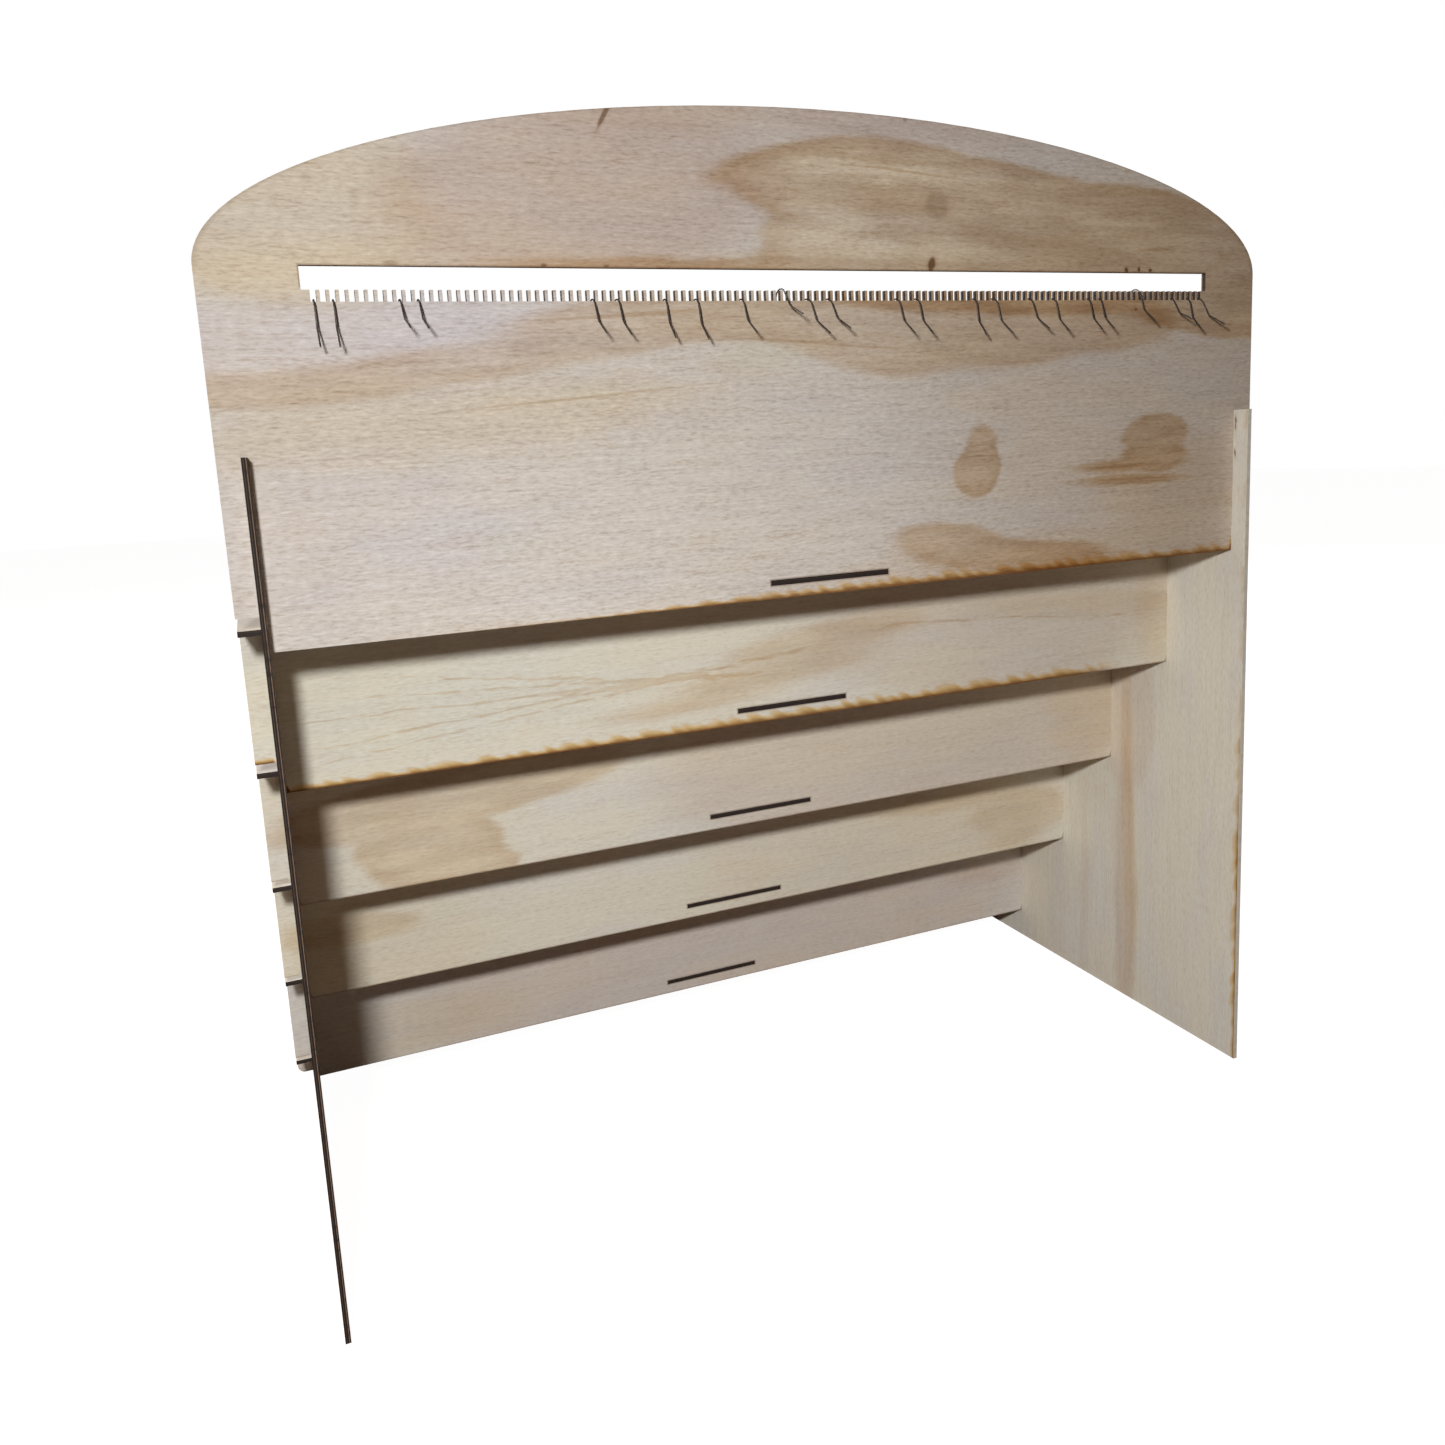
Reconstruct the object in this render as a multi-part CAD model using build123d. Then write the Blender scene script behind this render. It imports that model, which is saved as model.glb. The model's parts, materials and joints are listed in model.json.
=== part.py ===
from build123d import *
import math
import os

# Slot-together display stand of thin plywood: five treads climb a pair of stepped side panels,
# and a tall arched header at the back carries a comb for ear wires.
# Axes: +X to the right seen from the back, +Y towards the front (down the steps), +Z up, in mm.
# While it is drawn, Y is 0 on the back face of the header. At the end everything is shifted
# so that the origin is the middle of the footprint, on the surface that the stand rests on.

# sheet
ply = 2.7                 # real thickness of the plywood sold as 3 mm
play = 0.1                # clearance on each side of a sheet in its slot

# overall
width = 580.0             # across the boards, which stand out past the side panels
inside_width = 554.8      # between the inner faces of the side panels
levels = 5                # treads
tread_pitch = 52.6        # from one riser to the next
rise = 77.8               # from one step to the next
base_height = 28.8        # lowest step above the table
back_margin = 10.8        # side panel behind the header
finger = 5.7              # strip of side panel that stands in front of each riser

# boards
tongue_drop = 6.9         # board between the side panels, below the step's surface
wing_lift = 9.2           # underside of a board's wings, above the step's surface
tab_width = 69.2          # tab at the middle of a tread's back edge
lip_corner = 5.0          # rounded bottom corners of the front lip

# header
spring_height = 496.5     # where the arch leaves the straight sides
arch_rise = 77.0

# comb
comb_centre = 2.2         # middle of the slot, to the right of the middle of the header
slot_length = 501.6
slot_top = 497.2
tooth_pitch = 4.0
tooth_width = 1.5
tooth_height = 5.0
gap_floor = 482.1         # bottom of the gaps between the teeth
gaps = 124

# ear wires
wire_diameter = 0.8
hook_radius = 4.5         # centre line of the bend that hangs over the comb
seat_clearance = 0.3
front_leg = 1.5
eye_radius = 1.2
eye_angle = 275.0         # how much of a full turn the eye makes before it meets its leg
tail_length = 8.3         # straight stretch below the bend
flare_angle = 33.0        # how far the end of the tail turns outwards
flare_radius = 4.0
flare_length = 11.0
tail_in = 16.0            # swing from hanging straight until the tail meets the header
tail_out = 36.0           # and until the eye's leg meets it on the front

# Each ear wire: the gap that it sits in, counted from the left, how far its tail is swung out
# from hanging straight, how far it is turned about the vertical, and whether it rides on the
# tops of the teeth instead of in the gap.
ear_wires = [
    (0, 9, 0, False), (2, 9, 0, False), (9, 33, 3, False), (11, 32, 2, False),
    (31, 23, 3, False), (34, 20, 4, False), (40, 15, -3, False), (44, 12, 1, False),
    (50, 21, 2, False), (55, 32, 8, True), (59, 19, 18, False), (62, 26, 11, False),
    (72, 17, 6, False), (75, 16, 3, False), (84, 11, -5, False), (87, 13, 15, False),
    (93, 21, 4, False), (97, 16, -2, False), (103, 19, -10, False), (105, 20, -10, False),
    (111, 15, 6, True), (118, 34, -6, False), (121, 17, -12, False), (123, 25, 14, False),
]

half_width = width / 2
inner_x = inside_width / 2
outer_x = inner_x + ply
side_height = base_height + levels * rise
slot_width = ply + 2 * play
step_setback = ply + play + finger       # from a riser's back face to the step's upright edge


def riser_y(level):
    """Back face of the board at a level; level 0 is the header, level 5 the front lip."""
    return level * tread_pitch


def step_z(level):
    """Surface of the side panels that a tread rests on; level 0 is the highest tread."""
    return base_height + (levels - 1 - level) * rise


def upright(profile, y):
    """A board that stands across the stand, from an X-Z profile, with its back face at y."""
    return Pos(0, y + ply, 0) * Rot(90, 0, 0) * extrude(profile, ply)


def box_profile(x_low, x_high, y_low, y_high):
    return Pos((x_low + x_high) / 2, (y_low + y_high) / 2) * Rectangle(x_high - x_low, y_high - y_low)


def tab_slot(level):
    """Slot for a tread's tab, in the board behind the tread."""
    z = step_z(level) - play
    return box_profile(-tab_width / 2 - play, tab_width / 2 + play, z, z + slot_width)


def tongue(level):
    """Lower middle of a board, which fits between the side panels."""
    z = step_z(level)
    return box_profile(-inner_x + play, inner_x - play, z - tongue_drop, z + wing_lift + 1)


def comb_opening():
    """Outline of the slot in the header: its lower edge is the row of teeth."""
    left = comb_centre - slot_length / 2
    right = comb_centre + slot_length / 2
    tooth_top = gap_floor + tooth_height
    points = [(right, tooth_top), (right, slot_top), (left, slot_top), (left, tooth_top)]
    for gap in range(gaps):
        centre = gap_x(gap)
        half_gap = (tooth_pitch - tooth_width) / 2
        points += [(centre - half_gap, tooth_top), (centre - half_gap, gap_floor)]
        points += [(centre + half_gap, gap_floor), (centre + half_gap, tooth_top)]
    return make_face(Polyline(*points, close=True))


def gap_x(gap):
    return comb_centre + (gap - (gaps - 1) / 2) * tooth_pitch


def header_panel():
    """Tall board with the arched top, the comb and the highest tread's tab slot."""
    wing_bottom = step_z(0) + wing_lift
    straight = box_profile(-half_width, half_width, wing_bottom, spring_height)
    arch = Pos(0, spring_height) * Ellipse(half_width, arch_rise)
    arch &= box_profile(-half_width, half_width, spring_height - 1, spring_height + arch_rise)
    return upright(straight + arch + tongue(0) - comb_opening() - tab_slot(0), riser_y(0))


def riser(level):
    """Board under the front of one tread and behind the next, with wings past the side panels."""
    wings = box_profile(-half_width, half_width, step_z(level) + wing_lift, step_z(level - 1))
    return upright(wings + tongue(level) - tab_slot(level), riser_y(level))


def front_lip():
    """Lowest board, on the table, halved onto the side panels."""
    board = box_profile(-half_width, half_width, 0, base_height)
    board = fillet(board.vertices().group_by(Axis.Y)[0], lip_corner)
    for side in (-1, 1):
        x = side * (inner_x + outer_x) / 2
        board -= box_profile(x - slot_width / 2, x + slot_width / 2, -1, base_height / 2 + play)
    return upright(board, riser_y(levels))


def shelf(level):
    """Tread: tabbed at the back, notched round the side panels' fingers, open at the front."""
    back = riser_y(level)
    front = riser_y(level + 1) + step_setback
    board = box_profile(-half_width, half_width, back + step_setback + play, front)
    board += box_profile(-inner_x + play, inner_x - play, back + ply, front)
    board += box_profile(-tab_width / 2, tab_width / 2, back, back + ply + 1)
    return Pos(0, 0, step_z(level)) * extrude(board, ply)


def side_panel(x):
    """Stepped side, with a slot open at the top of every step for the board behind the tread."""
    points = [(-back_margin, 0), (riser_y(levels) + step_setback, 0)]
    for level in range(levels, -1, -1):
        top = step_z(level - 1)
        floor = base_height / 2 if level == levels else step_z(level) + wing_lift - play
        back = riser_y(level)
        points += [(back + step_setback, top), (back + ply + play, top), (back + ply + play, floor)]
        points += [(back - play, floor), (back - play, top)]
        if level > 0:
            points += [(riser_y(level - 1) + step_setback, top)]
    points += [(-back_margin, side_height)]
    profile = make_face(Polyline(*points, close=True))
    return extrude(Plane.YZ.offset(x) * profile, ply)


def hook_wire():
    """Ear wire in its own plane, hanging straight, with the middle of its bend at the origin."""
    eye = CenterArc((hook_radius + eye_radius, -front_leg), eye_radius, eye_angle + 180, -eye_angle)
    leg = Line(eye @ 1, (hook_radius, 0))
    bend = CenterArc((0, 0), hook_radius, 0, 180)
    tail = Line(bend @ 1, (-hook_radius, -tail_length + flare_radius * math.sin(math.radians(flare_angle)) / 2))
    turn = JernArc(tail @ 1, tail % 1, flare_radius, -flare_angle)
    flare = Line(turn @ 1, turn @ 1 + (turn % 1) * flare_length)
    path = Wire([eye, leg, bend, tail, turn, flare])
    section = Plane(origin=path @ 0, z_dir=path % 0) * Circle(wire_diameter / 2)
    return sweep(section, path=path)


def hook_seat(rides):
    """Height of the middle of the bend when the wire rests on a gap's floor or on the teeth."""
    floor = gap_floor + (tooth_height if rides else 0)
    inside = hook_radius - wire_diameter / 2
    return floor - math.sqrt(inside ** 2 - (ply / 2) ** 2) + seat_clearance


def ear_wire(gap, swing, turn, rides):
    x = gap_x(gap) + (tooth_pitch / 2 if rides else 0)
    place = Pos(x, ply / 2, hook_seat(rides)) * Rot(0, 0, turn) * Rot(-swing, 0, 0)
    return place * Plane.YZ.location * hook_wire()


nodes = {"header_panel": header_panel(), "front_lip": front_lip()}
nodes["side_panel_left"] = side_panel(-outer_x)
nodes["side_panel_right"] = side_panel(inner_x)
for level in range(1, levels):
    nodes[f"riser_{level + 1}"] = riser(level)
for level in range(levels):
    nodes[f"shelf_{level + 1}"] = shelf(level)
for number, wire in enumerate(ear_wires, start=1):
    nodes[f"ear_wire_{number:02d}"] = ear_wire(*wire)

boxes = [solid.bounding_box() for solid in nodes.values()]
back = min(box.min.Y for box in boxes)
front = max(box.max.Y for box in boxes)
shift_y = -(back + front) / 2
print(f"shift_y {shift_y:.4f}  back {back:.4f}  front {front:.4f}")

os.makedirs("parts", exist_ok=True)
for name, solid in nodes.items():
    export_step(Pos(0, shift_y, 0) * solid, f"parts/{name}.step")

# Axis of each ear wire's swing, for the record: through the middle of its bend, across its plane.
for number, (gap, swing, turn, rides) in enumerate(ear_wires, start=1):
    x = gap_x(gap) + (tooth_pitch / 2 if rides else 0)
    print(f"ear_wire_{number:02d} pivot {x:.3f} {ply / 2 + shift_y:.3f} {hook_seat(rides):.3f}",
          f"turn {turn} range {-tail_in - swing:.0f} {tail_out - swing:.0f}")
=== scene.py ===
"""Plywood display stand with a comb of ear wires: finishes, wires, light and camera around the CAD frame."""

import json
import math

import bpy
from mathutils import Matrix, Vector


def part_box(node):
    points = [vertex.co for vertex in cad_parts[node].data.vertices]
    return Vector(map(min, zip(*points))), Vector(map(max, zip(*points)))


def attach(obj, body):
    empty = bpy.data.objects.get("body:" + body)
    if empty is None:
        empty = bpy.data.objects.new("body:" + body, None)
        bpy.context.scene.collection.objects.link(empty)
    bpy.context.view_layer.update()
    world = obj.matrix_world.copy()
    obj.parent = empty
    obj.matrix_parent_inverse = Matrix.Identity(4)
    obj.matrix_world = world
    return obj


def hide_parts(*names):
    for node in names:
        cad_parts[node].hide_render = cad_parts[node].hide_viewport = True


bl_info = {
    "name": "Stepped jewellery stand",
    "version": (1, 0, 0),
    "blender": (4, 5, 0),
    "location": "View3D > Sidebar > Stand",
    "description": "Veneer and charred edges for a slot-together plywood stand, its ear wires, and a studio",
    "category": "Object",
}

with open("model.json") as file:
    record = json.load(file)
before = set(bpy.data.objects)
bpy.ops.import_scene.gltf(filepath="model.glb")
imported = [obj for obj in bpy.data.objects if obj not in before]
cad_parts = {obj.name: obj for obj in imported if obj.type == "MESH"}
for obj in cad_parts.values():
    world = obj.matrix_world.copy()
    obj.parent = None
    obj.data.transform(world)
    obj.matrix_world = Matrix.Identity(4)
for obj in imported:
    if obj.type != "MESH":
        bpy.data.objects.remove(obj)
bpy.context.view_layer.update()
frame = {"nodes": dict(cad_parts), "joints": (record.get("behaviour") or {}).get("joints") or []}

MM = 0.001

# Places on the boards, in mm
WING_START, WING_LIFT = 282, 16.1    # a board's lower cut steps up where its wings begin
TAB_SLOT_LIFT = 8.25                 # middle of a tab slot, over the board's lower cut
TAB_SLOT_REACH, TAB_SLOT_HALF = 34.8, 1.45           # half its length, half its gap
COMB_MIDDLE, COMB_REACH, COMB_TOP = 2.2, 250.8, 497.2
TEETH_FREE = (487, 489)              # height at which the comb's teeth stand clear
ARCH = (0, 496.5, 290, 77, 0)        # the header's top, as an oval
SEAM_IN = 9.3                        # a line of resin marks, in from a side panel's back cut
GLUE_NEAR, GLUE_FAR = 0.62, -0.5     # glue joints, from the middle of the sheet


# ---------------------------------------------------------------- shader maths

class Value:
    """A number that varies over a surface. Arithmetic on it adds Math nodes to its graph."""

    def __init__(self, graph, socket):
        self.graph, self.socket = graph, socket

    def math(self, operation, *others):
        return self.graph.value("ShaderNodeMath", {"operation": operation}, dict(enumerate((self, *others))))

    def __add__(self, other):
        return self.math("ADD", other)

    def __sub__(self, other):
        return self.math("SUBTRACT", other)

    def __rsub__(self, other):
        return self.math("MULTIPLY_ADD", -1.0, other)

    def __mul__(self, other):
        return self.math("MULTIPLY", other)

    def __truediv__(self, other):
        return self.math("DIVIDE", other)

    __radd__, __rmul__ = __add__, __mul__

    def __abs__(self):
        return self.math("ABSOLUTE")

    def at_least(self, other):
        return self.math("MAXIMUM", other)

    def root(self):
        return self.math("SQRT")

    def sine(self):
        return self.math("SINE")

    def fade(self, start, end):
        """0 before start and 1 after end, smooth between them; start may be the larger."""
        return self.graph.value("ShaderNodeMapRange", {"interpolation_type": "SMOOTHSTEP"},
                                {"Value": self, "From Min": start, "From Max": end})


class Graph:
    """The nodes of one material."""

    def __init__(self, name):
        self.material = bpy.data.materials.new(name)
        self.material.use_nodes = True
        self.tree = self.material.node_tree
        self.tree.nodes.clear()

    def node(self, kind, settings=None, inputs=None):
        """Adds a node: its settings first, then its sockets' values or links."""
        made = self.tree.nodes.new(kind)
        for name, value in (settings or {}).items():
            setattr(made, name, value)
        for name, value in (inputs or {}).items():
            value = getattr(value, "socket", value)
            if isinstance(value, bpy.types.NodeSocket):
                self.tree.links.new(value, made.inputs[name])
            elif made.inputs[name].type == "RGBA":
                made.inputs[name].default_value = (*value[:3], 1.0)
            else:
                made.inputs[name].default_value = value
        return made

    def value(self, kind, settings=None, inputs=None):
        return Value(self, self.node(kind, settings, inputs).outputs[0])

    def blend(self, amount, under, over, way="MIX"):
        """A colour laid over another by an amount, as paint or as a stain that multiplies."""
        return self.node("ShaderNodeMix", {"data_type": "RGBA", "blend_type": way, "clamp_factor": True},
                         {0: amount, 6: under, 7: over}).outputs[2]

    def finish(self, colour, roughness, bump, depth, strength, metallic=0.0, specular=0.5):
        """Closes the graph with one surface shader; bump is a height from 0 to 1 that is depth metres deep."""
        normal = self.node("ShaderNodeBump", None, {"Height": bump, "Distance": depth, "Strength": strength})
        surface = self.node("ShaderNodeBsdfPrincipled", None, {
            "Base Color": colour, "Roughness": roughness, "Metallic": metallic, "Specular IOR Level": specular,
            "Normal": normal.outputs[0]})
        self.node("ShaderNodeOutputMaterial", None, {"Surface": surface.outputs[0]})
        return self.material


# ---------------------------------------------------------------- plywood

class Sheet:
    """Millimetre coordinates on a board: u along its grain, v across it and w through it, with edge 1 on its cuts."""

    AXES = {"upright": (0, 2, 1), "side": (2, 1, 0), "flat": (0, 1, 2)}

    def __init__(self, graph, node, lies):
        self.graph = graph
        low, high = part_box(node)
        along, across, through = self.AXES[lies]
        middle = (low[through] + high[through]) / 2 / MM
        half_ply = (high[through] - low[through]) / 2 / MM
        place = graph.node("ShaderNodeVectorMath", {"operation": "SCALE"},
                           {0: graph.node("ShaderNodeTexCoord").outputs["Object"], "Scale": 1 / MM})
        parts = graph.node("ShaderNodeSeparateXYZ", None, {0: place.outputs[0]}).outputs
        self.u, self.v = Value(graph, parts[along]), Value(graph, parts[across])
        self.w = Value(graph, parts[through]) - middle
        self.edge = abs(self.w).fade(half_ply - 0.002, half_ply - 0.01)
        self.point = (self.u, self.v)
        self.made = {}

    def plane(self, u, v, depth=0.0):
        return self.graph.node("ShaderNodeCombineXYZ", None, {0: u, 1: v, 2: depth}).outputs[0]

    def noise(self, length, width, seed, detail=2.0, roughness=0.5, bend=None):
        """Cloudy value about 0.5 whose spots are length mm along the grain and width mm across it. A value that was
        asked for before is handed out again."""
        key = (length, width, seed, detail, roughness, bend)
        if key not in self.made:
            v = self.v if bend is None else self.v + bend
            self.made[key] = self.graph.value(
                "ShaderNodeTexNoise", {"noise_dimensions": "3D"},
                {"Vector": self.plane(self.u / length, v / width, seed), "Scale": 1.0, "Detail": detail,
                 "Roughness": roughness})
        return self.made[key]

    def oval(self, point, shape):
        """About how far inside an oval a point is, in mm; the shape is centre, half sizes and slope in degrees."""
        cu, cv, half_u, half_v, slope = shape
        u, v = (point[0] - cu) / half_u, (point[1] - cv) / half_v
        if slope:
            v = v - u * (math.tan(math.radians(slope)) * half_u / half_v)
        return (1 - (u * u + v * v).root()) * min(half_u, half_v)

    def figure(self, shapes, wander, seed, melt=5.0):
        """How far inside a group of merged ovals a point is, in mm, with outlines that wander along the grain."""
        shift = (self.noise(58, 20, seed, detail=3.0) - 0.5) * (2 * wander)
        point = (self.u + shift * 4, self.v + shift)
        field = self.oval(point, shapes[0])
        for shape in shapes[1:]:
            field = field.math("SMOOTH_MAX", self.oval(point, shape), melt)
        return field


def sawn_veneer(sheet, looks, seed, warmth, coarse=1.0):
    """Bare face veneer: broad drift from cream to pinkish grey, fine long grain, and dark and pale pore dashes, as
    strong as the veneer is coarse. Returns the colour and the height of the grain."""
    graph = sheet.graph
    drift = sheet.noise(120, 34, seed, detail=3.0)
    colour = graph.blend(drift.fade(0.34, 0.66) * 0.8 + (0.1 + warmth), looks.grey_veneer, looks.cream_veneer)
    clouds = sheet.noise(34, 17, seed + 1.7, detail=3.0)
    colour = graph.blend(clouds.fade(0.5, 0.8) * 0.35, colour, looks.pink_stain, "MULTIPLY")
    sway = (sheet.noise(90, 30, seed + 3.1) - 0.5) * 8
    grain = sheet.noise(24, 1.3, seed + 4.3, detail=4.0, roughness=0.65, bend=sway)
    dashes = sheet.noise(4.6, 1.1, seed + 5.9, detail=3.0, roughness=0.65)
    rows = sheet.noise(42, 2.4, seed + 7.3, detail=3.0, bend=sway)
    light = (grain - 0.5) * 0.38 + (dashes - 0.5) * 1.0 + (rows - 0.5) * 0.35
    colour = graph.blend((0 - light).fade(-0.02, 0.26) * looks.grain * coarse, colour, looks.dark_grain, "MULTIPLY")
    colour = graph.blend(light.fade(-0.02, 0.26) * looks.grain * 0.75 * coarse, colour, looks.pale_grain)
    pores = sheet.noise(10, 0.9, seed + 9.1, detail=1.0, bend=sway).fade(0.64, 0.76) * clouds.fade(0.38, 0.6)
    colour = graph.blend(pores * 0.55 * coarse ** 2, colour, looks.pore_stain, "MULTIPLY")
    return colour, light + 0.5 - pores * 0.5


def heart_figure(sheet, looks, colour, field, seed, amount=1.0, soft=2.2):
    """Tan heartwood laid on the veneer inside a figure, with a darker rim and growth bands that follow it."""
    graph = sheet.graph
    fray = (sheet.noise(12, 1.2, seed + 0.6, detail=2.0) - 0.5) * 3.2
    inside = (field + fray).fade(-soft, soft)
    bands = (field * 0.34 + (sheet.noise(70, 9, seed + 2.2, detail=4.0) - 0.5) * 12).sine()
    lumps = sheet.noise(46, 9, seed + 4.8, detail=4.0)
    tan = graph.blend(lumps.fade(0.36, 0.66), looks.tan_stain, looks.pale_tan_stain)
    colour = graph.blend(inside * amount, colour, tan, "MULTIPLY")
    rim = inside * field.fade(6.0, 0.0) * 0.22 + inside * bands.fade(0.0, 1.2) * 0.2
    return graph.blend(rim * amount, colour, looks.rim_stain, "MULTIPLY")


def charred_edge(sheet, looks, colour, seed, line_strength=1.0, burnt=1.0):
    """Cut edges: laser char on the plies, with the thin tan lines of the glue joints between them."""
    graph = sheet.graph
    soot = sheet.noise(3.0, 3.0, seed + 11.0, detail=3.0)
    char = graph.blend(soot, looks.char, looks.burnt_ply)
    line = abs(sheet.w - GLUE_NEAR).fade(0.22, 0.08) + abs(sheet.w - GLUE_FAR).fade(0.2, 0.08) * 0.25
    char = graph.blend(line * soot.fade(0.2, 0.5) * line_strength, char, looks.ply_line)
    return graph.blend(sheet.edge * burnt, colour, char)


def scorched_rim(sheet, looks, colour, depth_in, reach, seed, amount=1.0, scallop=9.0):
    """Smoke stain along a cut: amber tongues that lean along the edge, and a brown to black line at the cut itself.
    depth_in is the distance from the cut in mm, reach how far the tongues go in."""
    graph = sheet.graph
    run = sheet.u + depth_in * 1.1
    tongues = graph.value("ShaderNodeTexNoise", {"noise_dimensions": "2D"},
                          {"Vector": sheet.plane(run / scallop, depth_in / 30 + seed), "Scale": 1.0, "Detail": 0.6})
    height = (tongues.fade(0.34, 0.66) * 0.6 + 0.6) * reach
    stain = (depth_in / height.at_least(0.2)).fade(1.3, 0.45) * amount
    colour = graph.blend(stain, colour, looks.amber_stain, "MULTIPLY")
    burn = (depth_in / (height * 0.5).at_least(0.2)).fade(1.35, 0.1) * amount
    return graph.blend(burn * 0.85, colour, looks.brown_stain, "MULTIPLY")


def small_knots(sheet, looks, colour, knots, seed):
    """Little dark knots and resin dashes: a brown core that fades into a tan halo."""
    graph = sheet.graph
    wobble = (sheet.noise(4, 2, seed, detail=2.0) - 0.5) * 1.8
    point = (sheet.u + wobble, sheet.v + wobble)
    for cu, cv, half_u, half_v, tilt, darkness in knots:
        field = sheet.oval(point, (cu, cv, half_u, half_v, tilt)) * (1 / min(half_u, half_v))
        colour = graph.blend(field.fade(-0.9, 0.6) * darkness * 0.6, colour, looks.rim_stain, "MULTIPLY")
        colour = graph.blend(field.fade(-0.1, 0.5) * darkness, colour, looks.knot_stain, "MULTIPLY")
    return colour


def soft_stain(sheet, colour, shape, tint, amount, seed, feather=10.0):
    """A cloud of tint with a soft outline."""
    shift = (sheet.noise(60, 18, seed, detail=2.0) - 0.5) * 16
    point = (sheet.u + shift * 2, sheet.v + shift)
    return sheet.graph.blend(sheet.oval(point, shape).fade(-feather, feather) * amount, colour, tint, "MULTIPLY")


def past_lower_cut(sheet, node):
    """Distance in mm from a board's lower cut, which steps up at the wings."""
    between_wings = abs(sheet.u).fade(WING_START, WING_START - 7)
    return sheet.v - (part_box(node)[0].z / MM + (1 - between_wings) * WING_LIFT)


def scorched_slot(sheet, looks, colour, node, amount):
    """Brown outline of the tab slot over a board's lower cut."""
    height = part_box(node)[0].z / MM + TAB_SLOT_LIFT
    cut = (abs(sheet.u) - TAB_SLOT_REACH).at_least(abs(sheet.v - height) - TAB_SLOT_HALF)
    return sheet.graph.blend(cut.fade(1.0, 0.1) * amount, colour, looks.brown_stain, "MULTIPLY")


def raw_wood(sheet, colour, height, seed, roughness=0.8, depth=0.0002, strength=0.4):
    """Closes a board's material: dry wood that is a little smoother in streaks."""
    streaks = sheet.noise(30, 3, seed) * 0.14
    return sheet.graph.finish(colour, roughness - streaks, height, depth, strength, specular=0.25)


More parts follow.
